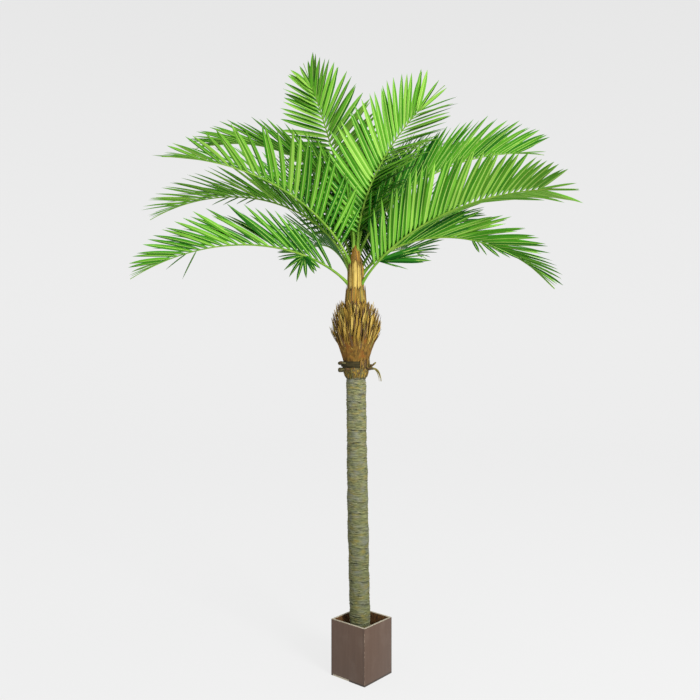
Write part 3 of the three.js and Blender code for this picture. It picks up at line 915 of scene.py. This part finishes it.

# %% [markdown]
# ## The boot
#
# Under the crown the old fronds were cut off, and their bases make a thick boot. Its lower
# part is a smooth cup of orange-brown fibre. Above it stand hundreds of stubs and torn
# fibres, straw, gold and brown, that lean out and then close in on the column. The cup is
# a skin that goes on behind them; the stubs are bars, in rows that follow the outline.

# %%
# The cup, in umber as painted shade where the stubs stand over it
CUP_SHADED_FROM = 1635 * MM
cup_grains = [(26, 8, 0, 1.5), (60, 20, 5, 0.8), (3, 26, 2, 1.6)]
cup_mesh = rough_skin("boot_cup", 144, 90, 1503, 1806, CUP_PROFILE, cup_grains)
cup_fibre, tree, shader = start_material("cup_fibre", 0.85, 0.25)
base = streaks(tree, (0.045, 0.026, 0.005), (0.28, 0.15, 0.022), (80, 80, 30), 0.34, 0.68)
ember = blotches(tree, base.outputs["Color"], (0.19, 0.072, 0.010), (34, 34, 30), 0.48, 0.66)
coat(tree, shader, ember.outputs["Color"], base.outputs["Height"], 1.6 * MM)
# Painted shade: the faces above CUP_SHADED_FROM take the umber fibre
second_above(cup_mesh, CUP_SHADED_FROM)
finish_piece("boot_cup", cup_mesh, [cup_fibre, fibre_tones[UMBER]], ["crown_boot"], crease=60)

# %%
# Rows of stubs: height and count of a row, then height and reach of its tips
STUB_ROWS = [
    (1572, 9, 1650, 112), (1592, 17, 1668, 118), (1608, 26, 1688, 123), (1624, 31, 1706, 122),
    (1645, 31, 1726, 117), (1666, 30, 1744, 112), (1686, 29, 1760, 107), (1706, 28, 1775, 101),
    (1724, 26, 1786, 92), (1742, 24, 1796, 82), (1756, 22, 1802, 72), (1770, 20, 1806, 62),
]
STUB_TONES = [STRAW] * 3 + [OLIVE] + [GOLD] * 4 + [TAN] * 2 + [UMBER] * 2
stub_lines = []
stub_tone = []
for row, (height, count, tip_height, tip_reach) in enumerate(STUB_ROWS):
    for i in range(count):
        turn = FULL_TURN * (i + (row % 2) / 2 + vary(-0.3, 0.3)) / count
        up = (height + vary(-9, 9)) * MM
        reach = np.interp(up, *CUP_PROFILE) - 3 * MM
        rise = tip_height * MM + vary(-16, 10) * MM - up
        spread = tip_reach * MM - reach + vary(-9, 7) * MM
        curl_in = vary(3, 12) * MM
        tilt, tall = slant(spread + curl_in, rise)
        wide = vary(6.5, 11.5) * MM
        sway, twist = vary(-0.14, 0.14), vary(-0.6, 0.6)
        stub_lines.append(bar_line(turn, reach, up, tilt, tall, wide, -curl_in, sway, twist))
        stub_tone.append(deal(STUB_TONES))
stub_outline = ([0, 0.1, 0.45, 0.8, 0.95, 1], [0.9, 1, 0.9, 0.7, 0.42, 0.12])
stub_mesh = joined("stubs", 7, GUTTER, stub_outline, stub_lines, lambda line, side: stub_tone[line])
finish_piece("boot_stubs", stub_mesh, fibre_tones)

# %%
# Torn fibres between the stubs, shorter near the boot's foot and top
TORN_FIBRES = 380
FIBRE_LEAN = ([1.52, 1.60, 1.70, 1.78], [0.30, 0.34, 0.30, 0.1])
LONG_FROM, LONG_TO, SHORTENED = 1.58, 1.72, 0.6
fibre_lines = []
fibre_tone = []
for _ in range(TORN_FIBRES):
    up = vary(1560, 1775) * MM
    turn = vary(0, FULL_TURN)
    reach = np.interp(up, *CUP_PROFILE) - 1 * MM
    lean = np.interp(up, *FIBRE_LEAN) + vary(-0.15, 0.2)
    length = vary(28, 74) * MM * (1 if LONG_FROM <= up <= LONG_TO else SHORTENED)
    width = vary(2.0, 4.6) * MM
    bend, sway = vary(-12, 3) * MM, vary(-0.3, 0.3)
    fibre_lines.append(bar_line(turn, reach, up, lean, length, width, bend, sway))
    fibre_tone.append(deal([STRAW, STRAW, GOLD, GOLD, GOLD, OLIVE, TAN, UMBER]))
fibre_outline = ([0, 0.3, 0.8, 1], [1, 0.85, 0.5, 0.1])
fibre_mesh = joined("fibres", 4, OVAL, fibre_outline, fibre_lines, lambda line, side: fibre_tone[line])
finish_piece("boot_fibres", fibre_mesh, fibre_tones)

# %% [markdown]
# ## The column
#
# Above the boot a column of stripped fibre carries the fronds. It is wrapped in upright
# strips, brown below and straw-coloured above, each wrap ending in a torn edge, and an
# orange point stands out at its top between the frond stalks. A skin gives the body and
# three wraps of bars give the strips.

# %%
# The column's body, in orange from the point's foot up
POINT_FROM = 2001 * MM
COLUMN_PROFILE = profile(
    (1805, 1854, 1862, 1935, 1985, 1999, 2004, 2030, 2056, 2076), (51, 46, 36, 34, 32.5, 31.5, 26, 21, 14, 6)
)
column_grains = [(16, 5, 0, 1.4), (42, 16, 5, 0.7)]
column_mesh = rough_skin("column_core", 120, 70, 1805, 2076, COLUMN_PROFILE, column_grains)
second_above(column_mesh, POINT_FROM)
column_tones = [fibre_tones[TAN], fibre_tones[ORANGE]]
finish_piece("column_core", column_mesh, column_tones, ["crown_column"], crease=60)

# %%
# Three wraps of strips: foot, top, count, widths, reach at foot and top, and the tones they are dealt
WRAPS = [
    (1796, 1874, 54, (5, 10), (52, 46), [TAN, TAN, GOLD, GOLD, UMBER, STRAW, OLIVE, ORANGE]),
    (1858, 1999, 52, (5, 9), (40, 37), [STRAW, STRAW, STRAW, GOLD, GOLD, GOLD, TAN, ORANGE, UMBER]),
    (1984, 2064, 30, (5, 9), (31, 14), [ORANGE, ORANGE, TAN, TAN, UMBER]),
]
# Two broad straw strips in front: turn, height, lean, length and width
BROAD_STRIPS = [(268, 1868, -0.02, 132, 17), (291, 1862, -0.03, 120, 9)]
BROAD_REACH = 41.5 * MM
wrap_lines = []
wrap_tone = []
for low, high, count, widths, reaches, tones in WRAPS:
    for i in range(count):
        turn = FULL_TURN * (i + vary(-0.35, 0.35)) / count
        start = (low + vary(-6, 10)) * MM
        stop = (high + vary(-24, 12)) * MM
        foot_reach = (reaches[0] + vary(-0.6, 1.2)) * MM
        top_reach = (reaches[1] + vary(-0.8, 1.6)) * MM
        lean, length = slant(top_reach - foot_reach, stop - start)
        width = vary(*widths) * MM
        wrap_lines.append(bar_line(turn, foot_reach, start, lean, length, width, 0, vary(-0.03, 0.03)))
        wrap_tone.append(deal(tones))
for turn, height, lean, length, width in BROAD_STRIPS:
    wrap_lines.append(bar_line(math.radians(turn), BROAD_REACH, height * MM, lean, length * MM, width * MM))
    wrap_tone.append(STRAW)
wrap_outline = ([0, 0.05, 0.8, 0.94, 1], [0.7, 1, 0.92, 0.6, 0.12])
wrap_mesh = joined("wraps", 6, FLAT, wrap_outline, wrap_lines, lambda line, side: wrap_tone[line])
finish_piece("column_strips", wrap_mesh, fibre_tones)

# %% [markdown]
# ## The fronds
#
# Each frond is a stalk that rises from the column and bends over, with paired leaflets from
# a tenth of its length to its end. The rule is the CAD's own: the slope eases from its rise
# to its end slope along the stalk, and each frond's leaflets go over from one angle and lift
# to another, most of them forward and flatter. Here a stalk carries twenty-four to
# thirty-eight pairs instead of eighteen, as the real one does, with a keel, a pale midrib
# and a bend of their own.

# %%
# The table of fronds, as in the CAD: turn, start, rise, end slope, length and roll of the stalk,
# then the leaflets' angle at its base and end, their lift at its base and end, pitch and width
FRONDS = {
    "frond_low_left": (190, 1885, 50, -34, 1105, 0, 30, 44, 60, 13, 34, 24),
    "frond_middle_left": (178, 1950, 79, -30, 1150, 0, 31, 26, 40, 24, 31, 20),
    "frond_upper_left": (210, 1985, 67, -7, 1062, 0, 62, 24, 50, 10, 30, 25),
    "frond_top_left": (137, 2060, 79, 64, 1062, -73, 80, 20, 0, 8, 25, 34),
    "frond_front": (335, 2050, 95, 34, 892, 96, 60, 31, 33, 10, 22, 27),
    "frond_upper_right": (17, 2030, 73, -2, 1240, 0, 58, 30, 38, 46, 25, 33),
    "frond_middle_right": (328, 1885, 57, -9, 1146, -22, 48, 40, 42, 4, 25, 29),
    "frond_low_right": (356, 1930, 60, -49, 1050, 0, 19, 28, 62, 6, 30, 25),
    "frond_upper_back_left": (174, 2052, 101, -14, 1090, 0, 28, 20, 26, 10, 31, 20),
    "frond_low_back_right": (65, 1900, 42, -8, 1060, 0, 60, 28, 50, 24, 26, 24),
    "frond_low_back_left": (112, 1900, 56, -22, 1060, 0, 60, 28, 50, 24, 26, 24),
    "frond_middle_back_left": (128, 1990, 76, -2, 1040, 0, 60, 28, 50, 24, 26, 24),
    "frond_middle_back": (88, 1965, 64, -20, 1120, 0, 60, 28, 50, 24, 24, 24),
    "frond_middle_back_right": (46, 1955, 60, -12, 1090, 0, 60, 28, 50, 24, 26, 24),
    "frond_upper_back_right": (58, 2040, 80, 2, 1150, 0, 60, 28, 50, 24, 24, 24),
    "frond_upper_back": (100, 2050, 84, 2, 1150, 0, 60, 28, 50, 24, 24, 24),
}
# How far the leaflets of some fronds are turned about their own line, on either hand
BLADE_TURNS = {
    "frond_top_left": (30, 0),
    "frond_front": (0, -38),
    "frond_upper_back_left": (30, 30),
    "frond_low_left": (20, 20),
}
SLOPE_EASE = 0.7
PATH_STEPS = 200
RIB_BASE = 14 * MM
RIB_END = 3 * MM
RIB_EASE = 0.8
BARE_SHARE = 0.1
END_LEAF = 170 * MM
LEAF_LONGEST = 310 * MM
print("Fronds in the table:", len(FRONDS))


# %%
# The path of a stalk: its points, and three directions at each of them
def frond_path(turn, start, rise, end, length, roll):
    turn, start, length = math.radians(turn), start * MM, length * MM
    outward = Vector((math.cos(turn), math.sin(turn), 0))
    level = UP.cross(outward)
    wall = float(np.interp(start, *COLUMN_PROFILE)) - 3 * MM
    point = Vector((float(axis_x(start)), 0, start)) + outward * wall
    path = []
    for i in range(PATH_STEPS + 1):
        share = i / PATH_STEPS
        slope = math.radians(rise + (end - rise) * share**SLOPE_EASE)
        along = outward * math.cos(slope) + UP * math.sin(slope)
        lean = Matrix.Rotation(math.radians(roll) * min(1, share / BARE_SHARE), 3, along)
        side = lean @ level
        path.append((point.copy(), along, side, along.cross(side)))
        point += along * (length / PATH_STEPS)
    return path


def place_at(path, share):
    exact = share * PATH_STEPS
    low = min(int(exact), PATH_STEPS - 1)
    return [a.lerp(b, exact - low) for a, b in zip(path[low], path[low + 1])]


def rib_radius(share):
    return (RIB_BASE + (RIB_END - RIB_BASE) * share**RIB_EASE) / 2


paths = {name: frond_path(*values[:6]) for name, values in FRONDS.items()}
highest = max(point.z for path in paths.values() for point, *_ in path)
print("Stalks:", len(paths), "highest point of a stalk:", round(highest, 3))

# %%
# Stalks: one bevelled curve with a radius that narrows and flares at its foot, made a mesh
FLARE, FLARE_SHARE = 0.35, 0.06
stalks = new_curve("stalks")
for path in paths.values():
    spline = stalks.splines.new("POLY")
    picked = path[::4]
    spline.points.add(len(picked) - 1)
    for i, (point, *_) in enumerate(picked):
        share = i / (len(picked) - 1)
        spline.points[i].co = (*point, 1)
        spline.points[i].radius = rib_radius(share) * (1 + FLARE * max(0.0, 1 - share / FLARE_SHARE))
stalk_mesh = curve_mesh(stalks)
stalk_green = blotched_material(
    "stalk_green", 0.55, 0.15, (0.14, 0.30, 0.025), (0.24, 0.39, 0.05), (16, 16, 16), 0.42, 0.68, 0.3 * MM
)
finish_piece("frond_stalks", stalk_mesh, [stalk_green], list(FRONDS), crease=60)


# %%
# One leaflet's line, by the CAD's rule with a little play
ANGLE_PLAY, LIFT_PLAY = 3.5, 4
LONGEST_AT = 0.35
SHORT_BASE, SHORT_END = 0.25, 0.38


def leaf_line(path, share, at, hand, angles, lifts, broad, blade):
    point, along, side, normal = place_at(path, at)
    play = vary(-1, 1, 6)
    angle = math.radians(angles[0] + (angles[1] - angles[0]) * share**2 + ANGLE_PLAY * play[0])
    lift = math.radians(lifts[0] + (lifts[1] - lifts[0]) * share**2 + LIFT_PLAY * play[1])
    sideways = side * (hand * math.cos(lift)) + normal * math.sin(lift)
    out = (along * math.cos(angle) + sideways * math.sin(angle)).normalized()
    across = (along - out * along.dot(out)).normalized()
    face = out.cross(across)
    if face.dot(normal) < 0:
        face = -face
    face = Matrix.Rotation(math.radians(blade), 3, out) @ face
    short_base = SHORT_BASE * max(0, 1 - share / LONGEST_AT) ** 2
    short_end = SHORT_END * max(0, (share - LONGEST_AT) / (1 - LONGEST_AT)) ** 2
    length = LEAF_LONGEST * (1 - short_base - short_end) * (1 + 0.04 * play[2])
    width = broad * (1 - 0.2 * share) * (1 - 0.3 * max(0, 1 - share / 0.3)) * (1 + 0.1 * play[3])
    foot = point + side * (hand * rib_radius(at) * 0.35)
    sag = along * (0.05 * length) - UP * (0.035 * length) + face * (0.02 * length * play[4])
    sag += across * (0.04 * length * play[5])
    return tuple(np.array(v) for v in (foot, out, face)) + (length, width, np.array(sag), 0.5 * play[4])


# %%
# The leaflets of every frond, in pairs and two at the end, and the green that each starts from.
# Those near the column lie in shade, so they start one step darker
# Partly painted light: back fronds start darker as painted shade, and some front fronds are set lighter or
# darker for how light falls on them; the rest is tone that varies from frond to frond
FROND_GREENS = [2, 1, 1, 1, 1, 1, 0, 1, 2, 4, 4, 3, 4, 4, 3, 3]
SHADED_SHARE = 0.36
END_SPLAY = 0.16
leaf_lines = []
leaf_start = []
for (name, values), green in zip(FRONDS.items(), FROND_GREENS):
    path = paths[name]
    length, angles, lifts, broad = values[4] * MM, values[6:8], values[8:10], values[11] * MM
    last = 1 - END_LEAF / length
    pairs = round((last - BARE_SHARE) * length / (values[10] * MM))
    for i in range(pairs):
        share = i / (pairs - 1)
        at = BARE_SHARE + share * (last - BARE_SHARE)
        for hand, blade in zip((1, -1), BLADE_TURNS.get(name, (0, 0))):
            leaf_lines.append(leaf_line(path, share, at, hand, angles, lifts, broad, blade))
            leaf_start.append(green + (share < SHADED_SHARE))
    for splay in (-END_SPLAY, END_SPLAY):
        point, along, side, normal = place_at(path, last)
        parts = (np.array(point), np.array((along + side * splay).normalized()), np.array(normal))
        leaf_lines.append(parts + (END_LEAF, broad * 0.6, np.zeros(3), 0.0))
        leaf_start.append(green)
print("Leaflets in their rows:", len(leaf_lines))

# %%
# Leaflets that hang or stray, as on the real palm: for a frond, each one's place on the stalk,
# its direction to the right and up, its length and its width. They all reach a little forward
STRAYS = [
    ("frond_low_left", [
        (0.235, -1.45, -0.30, 109, 19), (0.235, -1.35, -0.95, 121, 19), (0.235, -1.00, -1.40, 126, 19),
        (0.235, -0.50, -1.70, 130, 19), (0.235, 0.15, -1.50, 110, 19), (0.235, 0.70, -1.20, 102, 19),
        (0.235, 0.85, -1.05, 99, 19), (0.235, 1.10, -0.85, 102, 19),
    ]),
    ("frond_middle_right", [
        (0.125, 3.10, 1.20, 224, 24), (0.125, 3.35, 0.95, 235, 24), (0.125, 3.70, 0.20, 250, 24),
        (0.125, 3.20, 0.05, 216, 22), (0.125, 2.50, 0.75, 176, 24), (0.125, 3.60, 0.60, 246, 9),
        (0.125, 2.10, -0.50, 146, 7), (0.125, 1.40, -0.40, 98, 6),
    ]),
    ("frond_low_right", [
        (0.56, 0.40, -0.80, 72, 16), (0.58, 0.60, -0.90, 87, 8), (0.60, 1.10, -0.90, 115, 16),
        (0.62, 1.50, -0.85, 139, 10), (0.64, 2.05, -0.90, 181, 18),
    ]),
    ("frond_middle_left", [
        (0.64, -1.30, -0.60, 99, 9), (0.60, -1.20, -0.60, 93, 9), (0.56, -0.90, -0.50, 71, 9),
        (0.53, -0.80, -0.45, 64, 9),
    ]),
    ("frond_low_left", [(0.74, -1.40, -1.10, 123, 8), (0.70, -0.90, -1.90, 146, 8)]),
]
STRAY_FORWARD = -0.35
STRAY_GREEN = 4
for name, rows in STRAYS:
    for at, right, up, length, width in rows:
        out = unit((right, STRAY_FORWARD, up))
        face = unit(np.cross(out, np.cross((0, -1, 0.5), out)))
        sag = np.array([0, 0, -0.05 * length * MM])
        foot = np.array(place_at(paths[name], at)[0])
        leaf_lines.append((foot, out, face, length * MM, width * MM, sag, 0.4))
        leaf_start.append(STRAY_GREEN)
print("With those that hang or stray:", len(leaf_lines))

# %%
# Leaf greens: plain colours, dealt out frond by frond, with a pale midrib
LEAF_GREENS = {
    "leaf_green_lime": (0.255, 0.53, 0.062),
    "leaf_green_fresh": (0.165, 0.44, 0.036),
    "leaf_green_bright": (0.10, 0.34, 0.018),
    "leaf_green_mid": (0.052, 0.25, 0.010),
    "leaf_green_deep": (0.022, 0.155, 0.008),
    "leaf_green_dark": (0.008, 0.08, 0.006),
    "leaf_midrib": (0.42, 0.62, 0.14),
}
DARKEST, MIDRIB = 5, 6
leaf_materials = []
for name, green in LEAF_GREENS.items():
    dimmed = tuple(0.8 * v for v in green)
    leaf_materials.append(blotched_material(name, 0.5, 0.09, green, dimmed, (5, 5, 5), 0.35, 0.65))
GREEN_PLAY = [-1, 0, 0, 0, 1, 1]
leaf_green = [int(np.clip(green + dice.choice(GREEN_PLAY), 0, DARKEST - 1)) for green in leaf_start]


def leaf_tone(line, side):
    """A leaflet has a pale midrib on both faces, and one half a step or two darker as painted shade."""
    if side in (1, 4):
        return MIDRIB
    # Painted shade: the half on sides 2 and 3 is one or two greens darker
    return min(DARKEST, leaf_green[line] + (side in (2, 3)) * (1 + line % 2))


leaf_outline = ([0, 0.05, 0.15, 0.35, 0.6, 0.78, 0.92, 1], [0.3, 0.6, 0.88, 1, 0.95, 0.75, 0.36, 0.02])
leaf_mesh = joined("leaflets", 8, KEELED, leaf_outline, leaf_lines, leaf_tone)
finish_piece("frond_leaflets", leaf_mesh, leaf_materials, list(FRONDS), crease=30)

# %% [markdown]
# ## Studio, light and camera
#
# The photograph is a catalogue picture on a pale ground without a horizon. A wide bowl,
# spun from one line, is floor and wall in one, so no edge shows from any side. The bowl
# glows a little and gives, with an even sky, the soft light. It shows a little brighter than
# it lights, and fades slightly up its wall, as the photograph's ground does. A large lamp
# on the camera's right gives the box and the trunk their shape, and a weak one stands over
# the crown. The camera is level, as the upright lines show.

# %%
# The floor: a line with a rounded corner, spun all the way round
SEEN_GLOW = 0.78
LIT_GLOW = 0.66
TOP_FADE = 0.045
FADE_FROM, FADE_TO = 2.0, 9.0

bowl = bmesh.new()
bends = np.linspace(0, math.pi / 2, 13)
outline = [(0.02, 0.0)] + [(9.0 + 4 * math.sin(a), 4 - 4 * math.cos(a)) for a in bends] + [(13.0, 16.0)]
rim = [bowl.verts.new((x, 0, z)) for x, z in outline]
line = [bowl.edges.new(pair) for pair in zip(rim, rim[1:])]
bmesh.ops.spin(
    bowl, geom=rim + line, cent=(0, 0, 0), axis=(0, 0, 1), angle=FULL_TURN, steps=72, use_merge=True
)
bmesh.ops.remove_doubles(bowl, verts=bowl.verts, dist=1e-5)
middle_hole = [e for e in bowl.edges if e.is_boundary and max(v.co.z for v in e.verts) < 0.1]
bmesh.ops.holes_fill(bowl, edges=middle_hole)
bmesh.ops.recalc_face_normals(bowl, faces=bowl.faces)
if max(bowl.faces, key=lambda face: face.calc_area()).normal.z < 0:
    bmesh.ops.reverse_faces(bowl, faces=bowl.faces)
floor_mesh = to_mesh(bowl, "studio_floor")
floor_mesh.polygons.foreach_set("use_smooth", [True] * len(floor_mesh.polygons))
floor = bpy.data.objects.new("studio_floor", floor_mesh)
bpy.context.scene.collection.objects.link(floor)

pale, tree, shader = start_material("pale_paper", 0.9, 0.0)
feed(tree, shader.inputs["Base Color"], (0.09, 0.09, 0.09))
feed(tree, shader.inputs["Emission Color"], (1, 1, 1))
*_, place_z = place_on(tree)
fade = calculate(tree, "MULTIPLY", between(tree, place_z, FADE_FROM, FADE_TO), TOP_FADE)
seen = calculate(tree, "SUBTRACT", SEEN_GLOW - LIT_GLOW, fade)
rays = node(tree, "ShaderNodeLightPath")
glow = calculate(tree, "MULTIPLY", rays.outputs["Is Camera Ray"], seen)
tree.links.new(calculate(tree, "ADD", glow, LIT_GLOW), shader.inputs["Emission Strength"])
floor_mesh.materials.append(pale)
floor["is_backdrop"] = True
print("The floor's wall stands", outline[-1][0], "m out and is", outline[-1][1], "m high")

# %%
# Light
SKY_STRENGTH = 0.45
world = bpy.data.worlds.new("even_sky")
world.use_nodes = True
sky = world.node_tree.nodes["Background"]
sky.inputs[0].default_value = (1, 1, 1, 1)
sky.inputs[1].default_value = SKY_STRENGTH
bpy.context.scene.world = world


def add_lamp(name, place, aim, size, power):
    lamp = bpy.data.lights.new(name, "AREA")
    lamp.size = size
    lamp.energy = power
    holder = bpy.data.objects.new(name, lamp)
    holder.location = TURN @ Vector(place)
    holder.rotation_euler = (TURN @ Vector(aim) - holder.location).to_track_quat("-Z", "Y").to_euler()
    bpy.context.scene.collection.objects.link(holder)


add_lamp("key_lamp", (3.2, -4.8, 3.3), (0, 0, 1.5), 1.8, 390)
add_lamp("top_lamp", (0.6, -0.8, 6.2), (0, 0, 1.8), 2.0, 40)
print("Lamps:", [lamp.name for lamp in bpy.data.lights])

# %%
# Camera: level, 3.6 m in front of the trunk, at eye level, with its lens in the picture's pixels
EYE = Vector((-0.056, -3.616, 1.570))
PICTURE_WIDTH, FOCAL_LENGTH = 700, 746
camera_data = bpy.data.cameras.new("camera")
camera_data.sensor_width = 36
camera_data.lens = 36 * FOCAL_LENGTH / PICTURE_WIDTH
camera = bpy.data.objects.new("camera", camera_data)
camera.location = TURN @ EYE
camera.rotation_euler = (math.radians(90), 0, TURN_ANGLE)
bpy.context.scene.collection.objects.link(camera)
bpy.context.scene.camera = camera
bpy.context.scene.view_settings.view_transform = "Standard"
print("Lens:", round(camera_data.lens, 1), "mm")

# %%
# The finished palm's visual box
low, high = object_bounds()
print("Visual box:", [round(v, 3) for v in low], [round(v, 3) for v in high])
